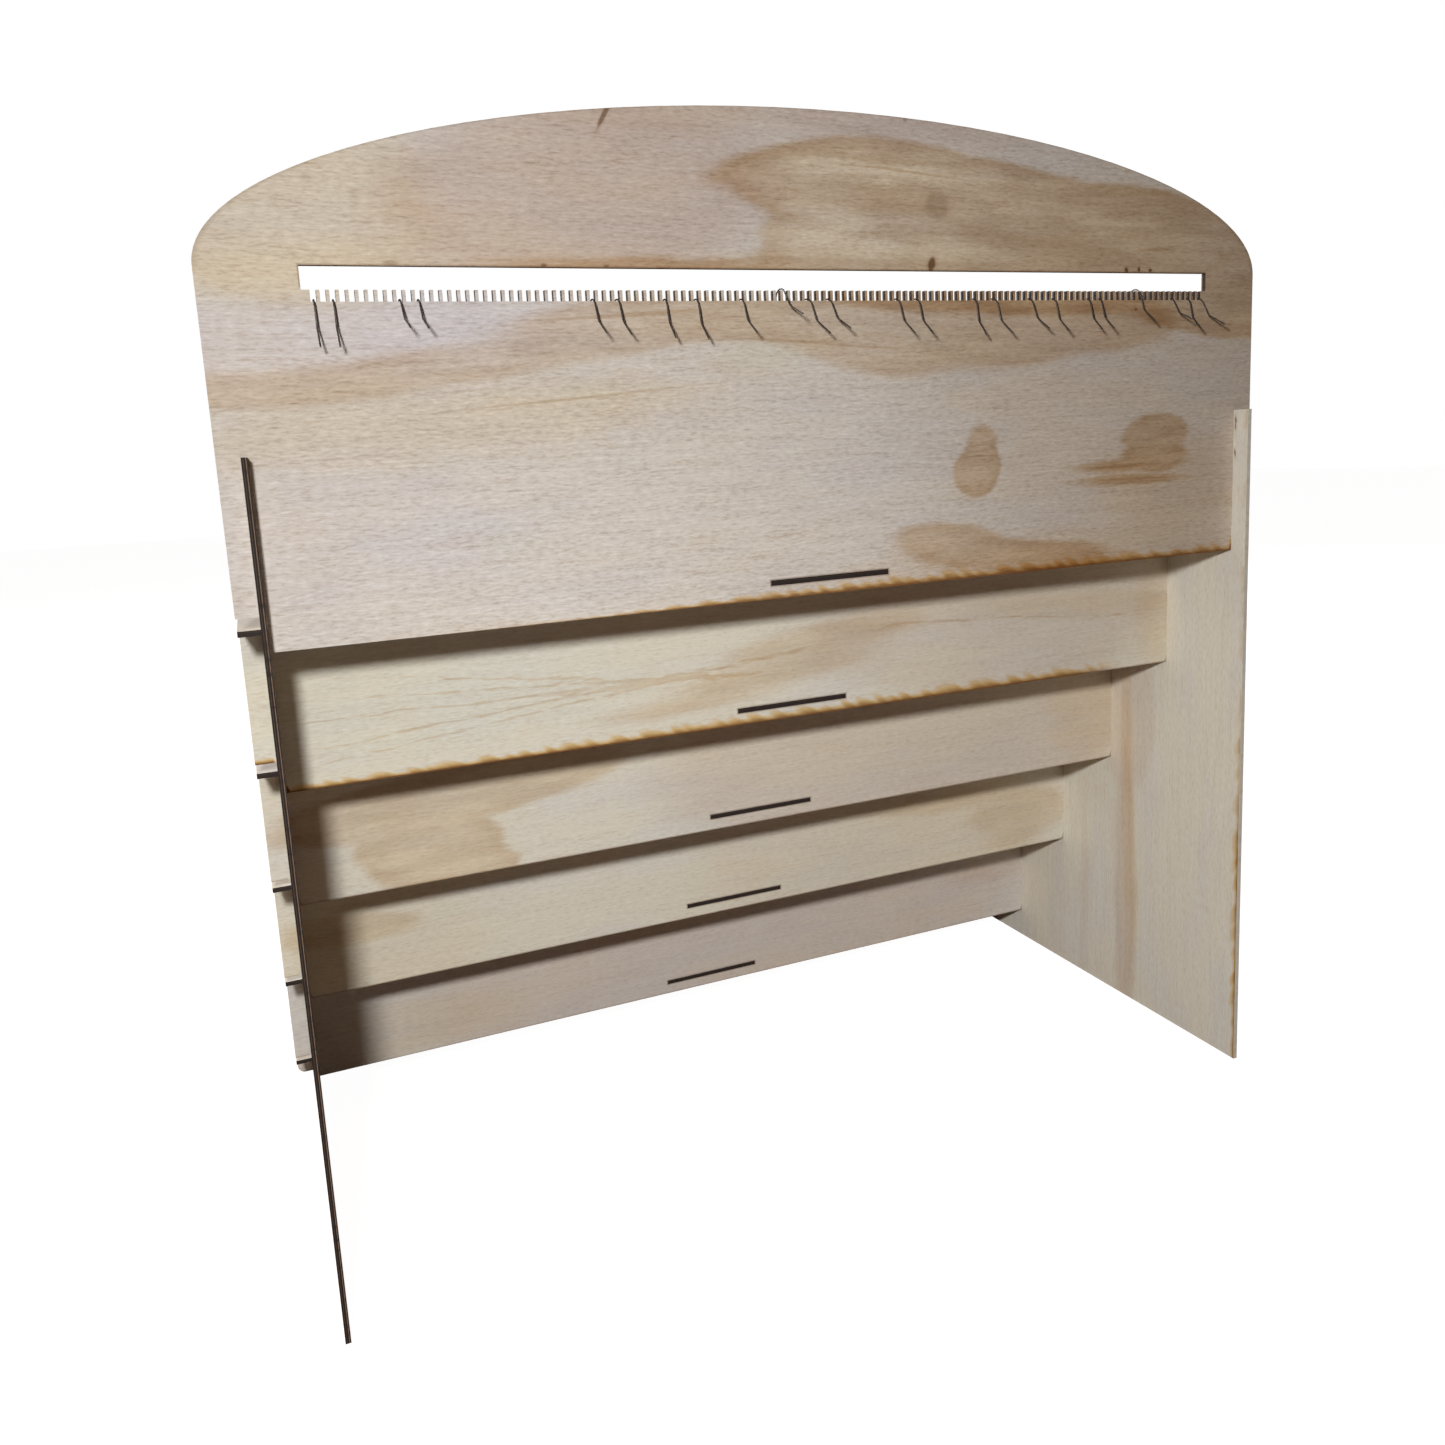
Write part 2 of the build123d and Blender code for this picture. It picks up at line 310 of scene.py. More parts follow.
def header_veneer(looks):
    """The arched header: a big cathedral figure over the comb, a tan band under it, and lower an eye and a flame."""
    node = "header_panel"
    graph = Graph("header_veneer")
    sheet = Sheet(graph, node, "upright")
    colour, height = sawn_veneer(sheet, looks, 3.0, -0.12, 0.85)
    for shape, tint, amount in (
        ((-250, 520, 64, 42, 0), looks.cream_stain, 1.0),      # cream upper left
        ((-225, 468, 100, 15, 3), looks.lilac_stain, 1.0),     # lilac strip under the comb's left end
        ((-120, 530, 92, 42, 4), looks.rose_stain, 0.85),      # rosy field left of the figure
        ((20, 572, 150, 12, 0), looks.rose_stain, 0.8),        # and over the top of it
        ((-190, 430, 125, 15, 4), looks.cream_stain, 1.0),     # cream under the tan band
        ((-240, 380, 70, 34, 0), looks.lilac_stain, 0.5),      # lilac lower left
        ((228, 376, 54, 26, 0), looks.pale_tan_stain, 0.6),    # round the flame
        ((150, 340, 130, 11, 0), looks.pale_tan_stain, 0.7),   # along the lower cut
        ((-150, 497, 110, 6, 0), looks.cream_stain, 0.8),      # over the comb's left half
    ):
        colour = soft_stain(sheet, colour, shape, tint, amount, 1.5)
    # painted shade: a greyer, warmer tint over the header's right end, where less light falls
    colour = soft_stain(sheet, colour, (215, 430, 150, 130, 0), looks.painted_shade_tint, 0.85, 1.5, 50.0)
    for shape in ((-170, 372, 11, 7, 0), (-35, 455, 20, 9, 0), (60, 462, 9, 6, 0), (-125, 440, 12, 5, 0)):
        colour = soft_stain(sheet, colour, shape, looks.sage_stain, 0.8, 1.5, 5.0)
    cathedral = sheet.figure([(36, 536, 76, 26.5, -1), (-26, 545, 30, 8, 8), (120, 521, 120, 31, -7),
                              (235, 502, 100, 38, -11), (20, 508, 54, 22, 0), (140, 496, 170, 22, 0),
                              (-90, 498, 70, 4, 0)], 2.6, 1.3, 9.0)
    colour = heart_figure(sheet, looks, colour, cathedral, 5.0)
    for shape in ((32, 549, 40, 8, 0), (8, 516, 26, 9, -6), (60, 508, 46, 6, -4), (120, 534, 46, 7, -8),
                  (215, 515, 50, 6, -6)):
        colour = soft_stain(sheet, colour, shape, looks.lifted_stain, 0.75, 1.5, 6.0)
    fainter_left = sheet.u.fade(-260, 60) * 0.2 + 0.6
    for shapes, wander, seed, melt, amount, soft in (
        ([(-270, 446, 60, 7.5, 1), (-190, 454, 66, 8.5, 6), (-110, 470, 56, 13, 5), (-40, 474, 64, 11, -2),
          (36, 466, 58, 22, -4), (110, 468, 70, 22, 2), (170, 470, 60, 16, 0)],
         2.6, 1.3, 8.0, fainter_left, 3.0),                                                 # band under the comb
        ([(96, 401, 10.5, 15, -6), (91, 390, 15, 13, 0)], 1.3, 6.4, 9.0, 0.95, 1.6),        # eye
        ([(217, 406, 25, 12, 3), (216, 394, 25, 10, 0), (200, 389.2, 40, 4, 0), (199, 380.6, 38, 3, -1)],
         1.3, 6.4, 1.6, 1.0, 1.4),                                                          # flame
        ([(74, 354, 36, 10.5, -6), (120, 343, 66, 10, -4)], 2.6, 1.3, 8.0, 0.9, 2.0),       # patch at the foot
    ):
        figure = sheet.figure(shapes, wander, seed, melt)
        colour = heart_figure(sheet, looks, colour, figure, 5.0, amount, soft)
    streaks = sheet.figure([(-20, 462.5, 26, 0.7, -3), (-130, 438, 50, 0.5, 4), (-100, 476, 40, 0.9, 3),
                            (20, 459, 18, 0.5, -4), (196, 388.6, 30, 0.9, 0), (200, 381, 28, 0.6, -1),
                            (92, 399.6, 12, 0.5, 0), (48, 546, 34, 0.6, -4), (217, 510, 13, 0.8, 3)], 1.3, 6.4, 0.3)
    colour = graph.blend(streaks.fade(-0.5, 0.4) * 0.6, colour, looks.rim_stain, "MULTIPLY")
    colour = small_knots(sheet, looks, colour, (
        (-108, 566, 5.0, 2.6, 58, 0.7), (66, 500.5, 2.8, 4.0, 20, 0.9), (70, 530, 9, 8, 0, 0.3),
        (195, 498.6, 1.6, 1.6, 0, 0.9), (204, 499, 1.2, 1.6, 0, 0.9), (212, 498.6, 1.5, 1.2, 0, 0.9),
        (-142, 498, 1.6, 1.0, 0, 0.6), (-112, 498, 1.3, 0.8, 0, 0.5), (-210, 498.6, 4, 1.2, 0, 0.35),
        (52, 571.5, 1.6, 0.9, 0, 0.4), (202, 477, 1.2, 0.8, 0, 0.8)), 1.1)
    reach = sheet.u.fade(-170, 60) * 4.2 + 0.8
    depth_in = past_lower_cut(sheet, node)
    colour = scorched_rim(sheet, looks, colour, depth_in, reach, 2.0, sheet.u.fade(-230, -60))
    comb_cut = (sheet.v - COMB_TOP).at_least(abs(sheet.u - COMB_MIDDLE) - COMB_REACH)
    comb_burn = comb_cut.fade(1.1, 0.1) * sheet.v.fade(*TEETH_FREE) * 0.6
    colour = graph.blend(comb_burn, colour, looks.brown_stain, "MULTIPLY")
    rim = sheet.oval(sheet.point, ARCH).at_least(ARCH[1] + 0.5 - sheet.v)
    colour = graph.blend(rim.fade(0.9, 0.0) * 0.25, colour, looks.brown_stain, "MULTIPLY")
    colour = scorched_slot(sheet, looks, colour, node, 0.55)
    colour = charred_edge(sheet, looks, colour, 1.0)
    return raw_wood(sheet, colour, height, 4.0, 0.78, 0.00025, 0.5)


def riser_veneer(looks, level, seed, warmth, figures, stains, amber, tone=(1.03, 1.07, 1.05)):
    """A riser: plain veneer with its own patches of heartwood, and amber smoke along the lower cut."""
    node = f"riser_{level}"
    graph = Graph(f"{node}_veneer")
    sheet = Sheet(graph, node, "upright")
    colour, height = sawn_veneer(sheet, looks, seed, warmth, 0.5)
    colour = graph.blend(1.0, colour, tone, "MULTIPLY")
    for shape, tint, amount in stains:
        colour = soft_stain(sheet, colour, shape, tint, amount, seed)
    for shapes, amount, soft in figures:
        colour = heart_figure(sheet, looks, colour, sheet.figure(shapes, 3.5, seed + 2.0), seed + 5.0, amount, soft)
    depth_in = past_lower_cut(sheet, node)
    if amber:
        reach = sheet.u.fade(-280, 40) * 2.2 + 3.2
        colour = scorched_rim(sheet, looks, colour, depth_in, reach, seed, sheet.u.fade(245, 200) * amber)
    colour = graph.blend(depth_in.fade(1.1, 0.1) * 0.5, colour, looks.brown_stain, "MULTIPLY")
    colour = scorched_slot(sheet, looks, colour, node, 0.5)
    colour = charred_edge(sheet, looks, colour, seed)
    return raw_wood(sheet, colour, height, seed)


def side_veneer(looks, side, seed):
    """A stepped side: upright grain, a soft rosy stripe down its middle, and smoke along its back cut."""
    node = f"side_panel_{side}"
    graph = Graph(f"{node}_veneer")
    sheet = Sheet(graph, node, "side")
    colour, height = sawn_veneer(sheet, looks, seed, 0.35, 0.45)
    colour = graph.blend(1.0, colour, (1.07, 1.12, 1.12), "MULTIPLY")
    for shape, tint, amount in (
        ((215, -38, 60, 26, 0), looks.rose_stain, 0.55), ((60, -36, 150, 9, 0), looks.rose_stain, 0.75),
        ((160, -40, 90, 5, 2), looks.pale_tan_stain, 0.7), ((40, -41, 60, 3, 0), looks.tan_stain, 0.35),
        # the last tint here is painted shade, greying the lower part of the panel
        ((50, 8, 80, 3, 0), looks.rose_stain, 0.5), ((60, 60, 110, 30, 0), looks.painted_shade_tint, 0.3),
    ):
        colour = soft_stain(sheet, colour, shape, tint, amount, seed, 5.0)
    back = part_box(node)[0].y / MM
    depth_in = sheet.v - back
    seam = back + SEAM_IN
    face = depth_in.fade(0.02, 0.5) if side == "right" else 1.0
    patchy = (sheet.u.fade(270, 120) * 0.85 + sheet.noise(22, 60, seed + 2.0).fade(0.5, 0.62) * 0.25) * face
    colour = scorched_rim(sheet, looks, colour, depth_in, 4.0, seed, patchy, 12.0)
    colour = small_knots(sheet, looks, colour, ((410, seam, 5, 0.7, 0, 0.8), (392, seam, 3, 0.7, 0, 0.8)), 2.0)
    burnt = depth_in.fade(0.05, 0.4) if side == "right" else 1.0      # the right panel's back cut stayed pale
    colour = charred_edge(sheet, looks, colour, seed, burnt=burnt)
    return raw_wood(sheet, colour, height, seed)


def flat_veneer(looks, node, seed, lies="flat"):
    """A tread or the front lip: plain veneer with a few long growth bands and a trace of smoke at its cuts."""
    graph = Graph(f"{node}_veneer")
    sheet = Sheet(graph, node, lies)
    low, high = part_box(node)
    across = Sheet.AXES[lies][1]
    middle = (low[across] + high[across]) / 2 / MM
    colour, height = sawn_veneer(sheet, looks, seed, 0.18, 0.7)
    figure = sheet.figure([(-140 + seed * 30, middle + 6, 120, 11, 3), (60 - seed * 12, middle - 8, 90, 9, -3)],
                          5.0, seed)
    colour = heart_figure(sheet, looks, colour, figure, seed + 3.0, 0.6, 3.0)
    glue_shows = 1.0
    if lies == "flat":
        glue_shows = 0.12
        colour = scorched_rim(sheet, looks, colour, high.y / MM - sheet.v, 2.2, seed, 0.6)
    colour = charred_edge(sheet, looks, colour, seed, glue_shows)
    return raw_wood(sheet, colour, height, seed)


def wear(node, material):
    """Gives every face of a CAD board one finish."""
    slots = frame["nodes"][node].data.materials
    slots.clear()
    slots.append(material)


# ---------------------------------------------------------------- settings

def colour_setting(name, description, default):
    return bpy.props.FloatVectorProperty(name=name, description=description, default=default, size=3,
                                         subtype="COLOR", min=0.0, max=1.5)


class StandWoodSettings(bpy.types.PropertyGroup):
    """Colours of the plywood, and one tint of painted shade. Stains multiply what lies under them."""

    grey_veneer: colour_setting("Grey veneer", "Coolest part of the bare veneer", (0.66, 0.615, 0.575))
    cream_veneer: colour_setting("Cream veneer", "Warmest part of the bare veneer", (0.715, 0.645, 0.545))
    pale_grain: colour_setting("Pale grain", "Light dashes between the pores", (0.86, 0.815, 0.75))
    dark_grain: colour_setting("Dark grain", "Stain of the grain lines", (0.74, 0.67, 0.61))
    pore_stain: colour_setting("Pores", "Stain of single open pores", (0.52, 0.42, 0.33))
    pink_stain: colour_setting("Pink clouds", "Faint pink drift in the veneer", (0.97, 0.9, 0.87))
    rose_stain: colour_setting("Rose stain", "Broad rosy fields", (0.87, 0.77, 0.71))
    lilac_stain: colour_setting("Lilac stain", "Palest, coolest fields", (0.99, 0.99, 1.06))
    cream_stain: colour_setting("Cream stain", "Broad creamy fields", (1.0, 0.95, 0.84))
    sage_stain: colour_setting("Sage stain", "Small greenish grey clouds", (0.98, 1.0, 0.97))
    # painted shade, not a stain: greys the header's right end and the lower part of the side panels
    painted_shade_tint: colour_setting("Painted shade tint", "Greyer end of the header", (0.89, 0.84, 0.78))
    tan_stain: colour_setting("Heartwood", "Stain of the heartwood figure", (0.8, 0.67, 0.52))
    pale_tan_stain: colour_setting("Pale heartwood", "Lighter part of the figure", (0.93, 0.82, 0.67))
    lifted_stain: colour_setting("Lifted stain", "Pale islands inside the figure", (1.2, 1.28, 1.34))
    rim_stain: colour_setting("Figure rim", "Dark growth lines of the figure", (0.74, 0.6, 0.46))
    knot_stain: colour_setting("Knots", "Cores of small knots", (0.3, 0.2, 0.12))
    amber_stain: colour_setting("Smoke", "Amber smoke stain beside a cut", (0.9, 0.66, 0.33))
    brown_stain: colour_setting("Scorch", "Brown line at the cut itself", (0.3, 0.16, 0.07))
    char: colour_setting("Char", "Charred cut edge", (0.018, 0.013, 0.012))
    burnt_ply: colour_setting("Burnt ply", "Browner patches of a cut edge", (0.034, 0.024, 0.021))
    ply_line: colour_setting("Ply line", "Thin tan line of a glue joint", (0.30, 0.19, 0.12))
    grain: bpy.props.FloatProperty(name="Grain", description="How strongly the grain shows", default=0.9,
                                   min=0.0, max=1.0, subtype="FACTOR")


class StandWireSettings(bpy.types.PropertyGroup):
    """Sizes of an ear wire, along its centre line, and its colour."""

    gauge: bpy.props.FloatProperty(name="Wire", description="Diameter of the wire", default=0.8 * MM, unit="LENGTH")
    hook: bpy.props.FloatProperty(name="Hook", description="Radius of the bend over the comb", default=4.5 * MM,
                                  unit="LENGTH")
    leg: bpy.props.FloatProperty(name="Front leg", description="Straight wire above the eye", default=1.5 * MM,
                                 unit="LENGTH")
    eye: bpy.props.FloatProperty(name="Eye", description="Radius of the eye", default=1.2 * MM, unit="LENGTH")
    eye_turn: bpy.props.FloatProperty(name="Eye turn", description="How far the eye is rolled round",
                                      default=math.radians(275), unit="ROTATION")
    tail: bpy.props.FloatProperty(name="Tail", description="Straight wire behind the bend", default=7.21 * MM,
                                  unit="LENGTH")
    flare_turn: bpy.props.FloatProperty(name="Flare turn", description="How far the tail's end leans out",
                                        default=math.radians(33), unit="ROTATION")
    flare_bend: bpy.props.FloatProperty(name="Flare bend", description="Radius of the flare's bend", default=4 * MM,
                                        unit="LENGTH")
    flare: bpy.props.FloatProperty(name="Flare", description="Straight end of the tail", default=11 * MM,
                                   unit="LENGTH")
    hanging_stop: bpy.props.FloatProperty(
        name="Outward stop", description="Tilt at which the front leg meets the header", default=math.radians(36),
        unit="ROTATION")
    metal: colour_setting("Metal", "Dull dark metal of the wires", (0.115, 0.105, 0.098))


class StandStageSettings(bpy.types.PropertyGroup):
    """Light, floor and camera."""

    floor: colour_setting("Floor", "Pale floor", (0.23, 0.17, 0.14))
    fill: colour_setting("Fill", "Colour of the light from all round", (1.0, 0.52, 0.37))
    fill_strength: bpy.props.FloatProperty(name="Fill strength", description="Light from all round", default=0.03,
                                           min=0.0)
    key_power: bpy.props.FloatProperty(name="Key", description="Power of the small soft key light", default=2.6,
                                       min=0.0, unit="POWER")
    low_power: bpy.props.FloatProperty(
        name="Lower key", description="Power of the wide spot that lifts the lower boards", default=3.4, min=0.0,
        unit="POWER")
    key_size: bpy.props.FloatProperty(name="Key size", description="Diameter of the key light", default=0.062,
                                      unit="LENGTH")
    front_power: bpy.props.FloatProperty(
        name="Front soft boxes", description="Power of each soft box on the stepped side", default=60.0, min=0.0,
        unit="POWER")
    focal: bpy.props.FloatProperty(name="Focal length", description="Lens, in mm on a 36 mm sensor", default=28.4,
                                   min=10.0)


# ---------------------------------------------------------------- ear wires

WIRE_POINTS, RING_SIDES = 190, 10


def wire_tree():
    """Geometry nodes that bend one ear wire: a line of points takes its heading from the bends that lie before each
    point, and its place from the headings added up; then it becomes a tube and is hung in its place."""
    tree = bpy.data.node_groups.new("ear_wire_bender", "GeometryNodeTree")
    faces = tree.interface
    for name in ("Wire", "Hook", "Front leg", "Eye", "Eye turn", "Tail", "Flare turn", "Flare bend", "Flare",
                 "Swing", "Turn"):
        faces.new_socket(name, in_out="INPUT", socket_type="NodeSocketFloat")
    faces.new_socket("Place", in_out="INPUT", socket_type="NodeSocketVector")
    faces.new_socket("Steps", in_out="INPUT", socket_type="NodeSocketInt")
    faces.new_socket("Metal", in_out="INPUT", socket_type="NodeSocketMaterial")
    faces.new_socket("Wire mesh", in_out="OUTPUT", socket_type="NodeSocketGeometry")
    given = tree.nodes.new("NodeGroupInput").outputs

    def add(kind, settings=None, **inputs):
        node = tree.nodes.new(kind)
        for name, value in (settings or {}).items():
            setattr(node, name, value)
        for name, value in inputs.items():
            key = int(name[1:]) if name[0] == "i" and name[1:].isdigit() else name.replace("_", " ")
            if isinstance(value, bpy.types.NodeSocket):
                tree.links.new(value, node.inputs[key])
            else:
                node.inputs[key].default_value = value
        return node

    def calc(operation, *values):
        return add("ShaderNodeMath", {"operation": operation},
                   **{f"i{i}": v for i, v in enumerate(values)}).outputs[0]

    def turned(along, start, length, angle):
        """Angle turned by a bend of that length, at a distance along the wire."""
        return add("ShaderNodeMapRange", {"clamp": True}, Value=along, From_Min=start,
                   From_Max=calc("ADD", start, length), To_Max=angle).outputs[0]

    eye_length = calc("MULTIPLY", given["Eye"], given["Eye turn"])
    hook_length = calc("MULTIPLY", given["Hook"], math.pi)
    flare_length = calc("MULTIPLY", given["Flare bend"], given["Flare turn"])
    hook_start = calc("ADD", eye_length, given["Front leg"])
    hook_end = calc("ADD", hook_start, hook_length)
    flare_start = calc("ADD", hook_end, given["Tail"])
    whole = calc("ADD", calc("ADD", flare_start, flare_length), given["Flare"])
    step = calc("DIVIDE", whole, calc("SUBTRACT", given["Steps"], 1.0))
    index = add("GeometryNodeInputIndex").outputs[0]
    along = calc("MULTIPLY", index, step)
    ahead = calc("MULTIPLY", calc("ADD", index, 0.5), step)

    heading = calc("ADD", math.pi / 2, given["Eye turn"])
    heading = calc("SUBTRACT", heading, turned(ahead, 0.0, eye_length, given["Eye turn"]))
    heading = calc("ADD", heading, turned(ahead, hook_start, hook_length, math.pi))
    heading = calc("SUBTRACT", heading, turned(ahead, flare_start, flare_length, given["Flare turn"]))
    stride = add("ShaderNodeCombineXYZ", X=0.0, Y=calc("MULTIPLY", calc("COSINE", heading), step),
                 Z=calc("MULTIPLY", calc("SINE", heading), step)).outputs[0]
    walked = add("GeometryNodeAccumulateField", {"data_type": "FLOAT_VECTOR", "domain": "POINT"}, i0=stride)

    line = add("GeometryNodeCurvePrimitiveLine").outputs[0]
    points = add("GeometryNodeResampleCurve", None, Curve=line, Count=given["Steps"]).outputs[0]
    start_of_hook = add("GeometryNodeSampleIndex", {"data_type": "FLOAT_VECTOR", "domain": "POINT", "clamp": True},
                        Geometry=points, Value=walked.outputs["Trailing"],
                        Index=add("FunctionNodeFloatToInt", None, i0=calc("DIVIDE", hook_start, step)).outputs[0])
    at_hook = add("ShaderNodeCombineXYZ", X=0.0, Y=given["Hook"], Z=0.0).outputs[0]
    place = add("ShaderNodeVectorMath", {"operation": "SUBTRACT"}, i0=walked.outputs["Trailing"],
                i1=start_of_hook.outputs[0]).outputs[0]
    place = add("ShaderNodeVectorMath", {"operation": "ADD"}, i0=place, i1=at_hook).outputs[0]
    bent = add("GeometryNodeSetPosition", None, Geometry=points, Position=place).outputs[0]

    radius = calc("MULTIPLY", given["Wire"], 0.5)
    from_end = calc("MINIMUM", along, calc("SUBTRACT", whole, along))
    rounding = calc("SUBTRACT", 1.0, calc("MINIMUM", 1.0, calc("DIVIDE", from_end, radius)))
    profile_scale = calc("SQRT", calc("MAXIMUM", 0.06, calc("SUBTRACT", 1.0, calc("POWER", rounding, 2.0))))
    ring = add("GeometryNodeCurvePrimitiveCircle", {"mode": "RADIUS"}, Resolution=RING_SIDES,
               Radius=radius).outputs[0]
    tube = add("GeometryNodeCurveToMesh", None, Curve=bent, Profile_Curve=ring, Scale=profile_scale,
               Fill_Caps=True).outputs[0]
    leaned = add("ShaderNodeCombineXYZ", X=calc("MULTIPLY", given["Swing"], -1.0), Y=0.0, Z=given["Turn"]).outputs[0]
    hung = add("GeometryNodeTransform", None, Geometry=tube, Translation=given["Place"], Rotation=leaned).outputs[0]
    smooth = add("GeometryNodeSetShadeSmooth", None, Geometry=hung).outputs[0]
    real = add("GeometryNodeRealizeInstances", None, Geometry=smooth).outputs[0]
    dressed = add("GeometryNodeSetMaterial", None, Geometry=real, Material=given["Metal"]).outputs[0]
    tree.links.new(dressed, tree.nodes.new("NodeGroupOutput").inputs[0])
    return tree


def dull_metal(looks):
    """Dark oxidised wire with cloudy tarnish."""
    graph = Graph("dull_metal")
    place = graph.node("ShaderNodeTexCoord").outputs["Object"]
    tarnish = graph.value("ShaderNodeTexNoise", None, {"Vector": place, "Scale": 900.0, "Detail": 3.0})
    colour = graph.blend(tarnish.fade(0.3, 0.7), looks.metal, [c * 1.7 for c in looks.metal])
    return graph.finish(colour, tarnish * 0.25 + 0.32, tarnish, 0.00002, 0.3, metallic=0.75)


def hang_wire(tree, joint, looks, metal):
    """One ear wire, hung on its hinge as the CAD wire is and leaning as far as the joint's range leaves."""
    name = joint["child"]
    shell = bpy.data.objects.new(name + "_bender", bpy.data.meshes.new(name + "_blank"))
    bpy.context.scene.collection.objects.link(shell)
    bender = shell.modifiers.new("bend", "NODES")
    bender.node_group = tree
    axis = Vector(joint["axis"])
    sizes = {
        "Wire": looks.gauge, "Hook": looks.hook, "Front leg": looks.leg, "Eye": looks.eye, "Eye turn": looks.eye_turn,
        "Tail": looks.tail, "Flare turn": looks.flare_turn, "Flare bend": looks.flare_bend, "Flare": looks.flare,
        "Swing": looks.hanging_stop - math.radians(joint["range_deg"][1]), "Turn": math.atan2(-axis.y, -axis.x),
        "Place": joint["pos_m"], "Steps": WIRE_POINTS, "Metal": metal,
    }
    for socket in tree.interface.items_tree:
        if socket.in_out == "INPUT":
            bender[socket.identifier] = sizes[socket.name]
    evaluated = shell.evaluated_get(bpy.context.evaluated_depsgraph_get())
    mesh = bpy.data.meshes.new_from_object(evaluated)
    mesh.name = name + "_wire"
    bpy.data.objects.remove(shell)
    wire = bpy.data.objects.new(name + "_wire", mesh)
    bpy.context.scene.collection.objects.link(wire)
    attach(wire, name)
    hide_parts(name)


# ---------------------------------------------------------------- operators

class STAND_OT_header(bpy.types.Operator):
    """Give the arched header its figured veneer and smoked edges"""

    bl_idname = "stand.header"
    bl_label = "Header"

    def execute(self, context):
        wear("header_panel", header_veneer(context.scene.stand_wood))
        return {"FINISHED"}


class STAND_OT_risers(bpy.types.Operator):
    """Give the four risers their veneers"""

    bl_idname = "stand.risers"
    bl_label = "Risers"

    def execute(self, context):
        looks = context.scene.stand_wood
        wear("riser_2", riser_veneer(
            looks, 2, 13.0, 0.3,
            [([(20, 298, 62, 10, 6), (-10, 283, 60, 7, 4), (-60, 272, 46, 4, 3)], 0.6, 3.5),
             ([(215, 300, 90, 9, -3)], 0.35, 5.0),
             ([(-168, 299, 58, 0.5, -7), (-160, 293.5, 52, 0.4, -4), (-166, 287.5, 60, 0.5, -1),
               (-178, 281, 66, 0.5, 4), (-175, 276, 60, 0.4, 6), (170, 296, 50, 0.4, -4)], 0.55, 0.4)],
            [((-190, 300, 110, 34, 0), looks.sage_stain, 0.6), ((150, 300, 130, 50, 0), looks.rose_stain, 0.4),
             ((268, 290, 14, 40, 0), looks.pale_tan_stain, 0.5)], 1.0))
        wear("riser_3", riser_veneer(
            looks, 3, 21.0, 0.15,
            [([(-190, 226, 100, 17, 4), (-206, 197, 42, 22, 0), (-176, 182, 16, 14, 0)], 0.75, 2.4)],
            [((120, 215, 190, 60, 0), looks.rose_stain, 0.55), ((255, 215, 30, 40, 0), looks.pale_tan_stain, 0.4)],
            0.0))
        wear("riser_4", riser_veneer(
            looks, 4, 34.0, 0.35,
            [([(-250, 138, 40, 10, -4)], 0.5, 2.4),
             ([(170, 148, 66, 8, -3), (240, 128, 48, 18, 0), (228, 108, 24, 7, 0)], 0.5, 5.0)],
            [((-230, 120, 60, 40, 0), looks.cream_stain, 0.5), ((120, 130, 150, 50, 0), looks.pale_tan_stain, 0.3)],
            0.0))
        wear("riser_5", riser_veneer(
            looks, 5, 46.0, -0.2, [([(250, 60, 46, 8, 0)], 0.3, 5.0)],
            [((-210, 40, 60, 20, 0), looks.cream_stain, 0.6), ((30, 50, 250, 60, 0), looks.rose_stain, 0.6)], 0.0,
            (1.0, 1.03, 1.04)))
        return {"FINISHED"}


class STAND_OT_sides(bpy.types.Operator):
    """Give the two stepped side panels their upright veneers"""

    bl_idname = "stand.sides"
    bl_label = "Side panels"

    def execute(self, context):
        for side, seed in (("left", 57.0), ("right", 63.0)):
            wear(f"side_panel_{side}", side_veneer(context.scene.stand_wood, side, seed))
        return {"FINISHED"}


class STAND_OT_treads(bpy.types.Operator):
    """Give the five treads and the front lip their veneers"""

    bl_idname = "stand.treads"
    bl_label = "Treads and lip"

    def execute(self, context):
        looks = context.scene.stand_wood
        for level in range(1, 6):
            wear(f"shelf_{level}", flat_veneer(looks, f"shelf_{level}", level * 2.3))
        wear("front_lip", flat_veneer(looks, "front_lip", 5.1, "upright"))
        return {"FINISHED"}


class STAND_OT_wires(bpy.types.Operator):
    """Bend the ear wires and hang them on the comb"""

    bl_idname = "stand.wires"
    bl_label = "Ear wires"

    def execute(self, context):
        looks = context.scene.stand_wires
        tree, metal = wire_tree(), dull_metal(looks)
        for joint in frame["joints"]:
            hang_wire(tree, joint, looks, metal)
        return {"FINISHED"}


def soft_light(name, size, power, place, aim, shape="DISK", cone=None):
    """A soft light that the camera doesn't see: a spot if it has a cone, else a flat lamp of some shape."""
    lamp = bpy.data.lights.new(name, "SPOT" if cone else "AREA")
    lamp.energy = power
    if cone:
        lamp.shadow_soft_size, lamp.spot_size, lamp.spot_blend = size / 2, cone, 1.0
    else:
        lamp.shape, lamp.size = shape, size
    light = bpy.data.objects.new(name, lamp)
    light.location = place
    light.rotation_euler = (Vector(aim) - Vector(place)).to_track_quat("-Z", "Y").to_euler()
    light.visible_camera = False
    bpy.context.scene.collection.objects.link(light)
    return light


FALL_SETTLES = 0.52       # metres from the lamp where a gentle light is as strong as a plain one


def fall_gently(light):
    """Lets a light fade with distance as a larger and farther one does."""
    light.data.use_nodes = True
    nodes, links = light.data.node_tree.nodes, light.data.node_tree.links
    fall = nodes.new("ShaderNodeLightFalloff")
    fall.inputs["Strength"].default_value = 1 / FALL_SETTLES
    links.new(fall.outputs["Linear"], nodes["Emission"].inputs["Strength"])


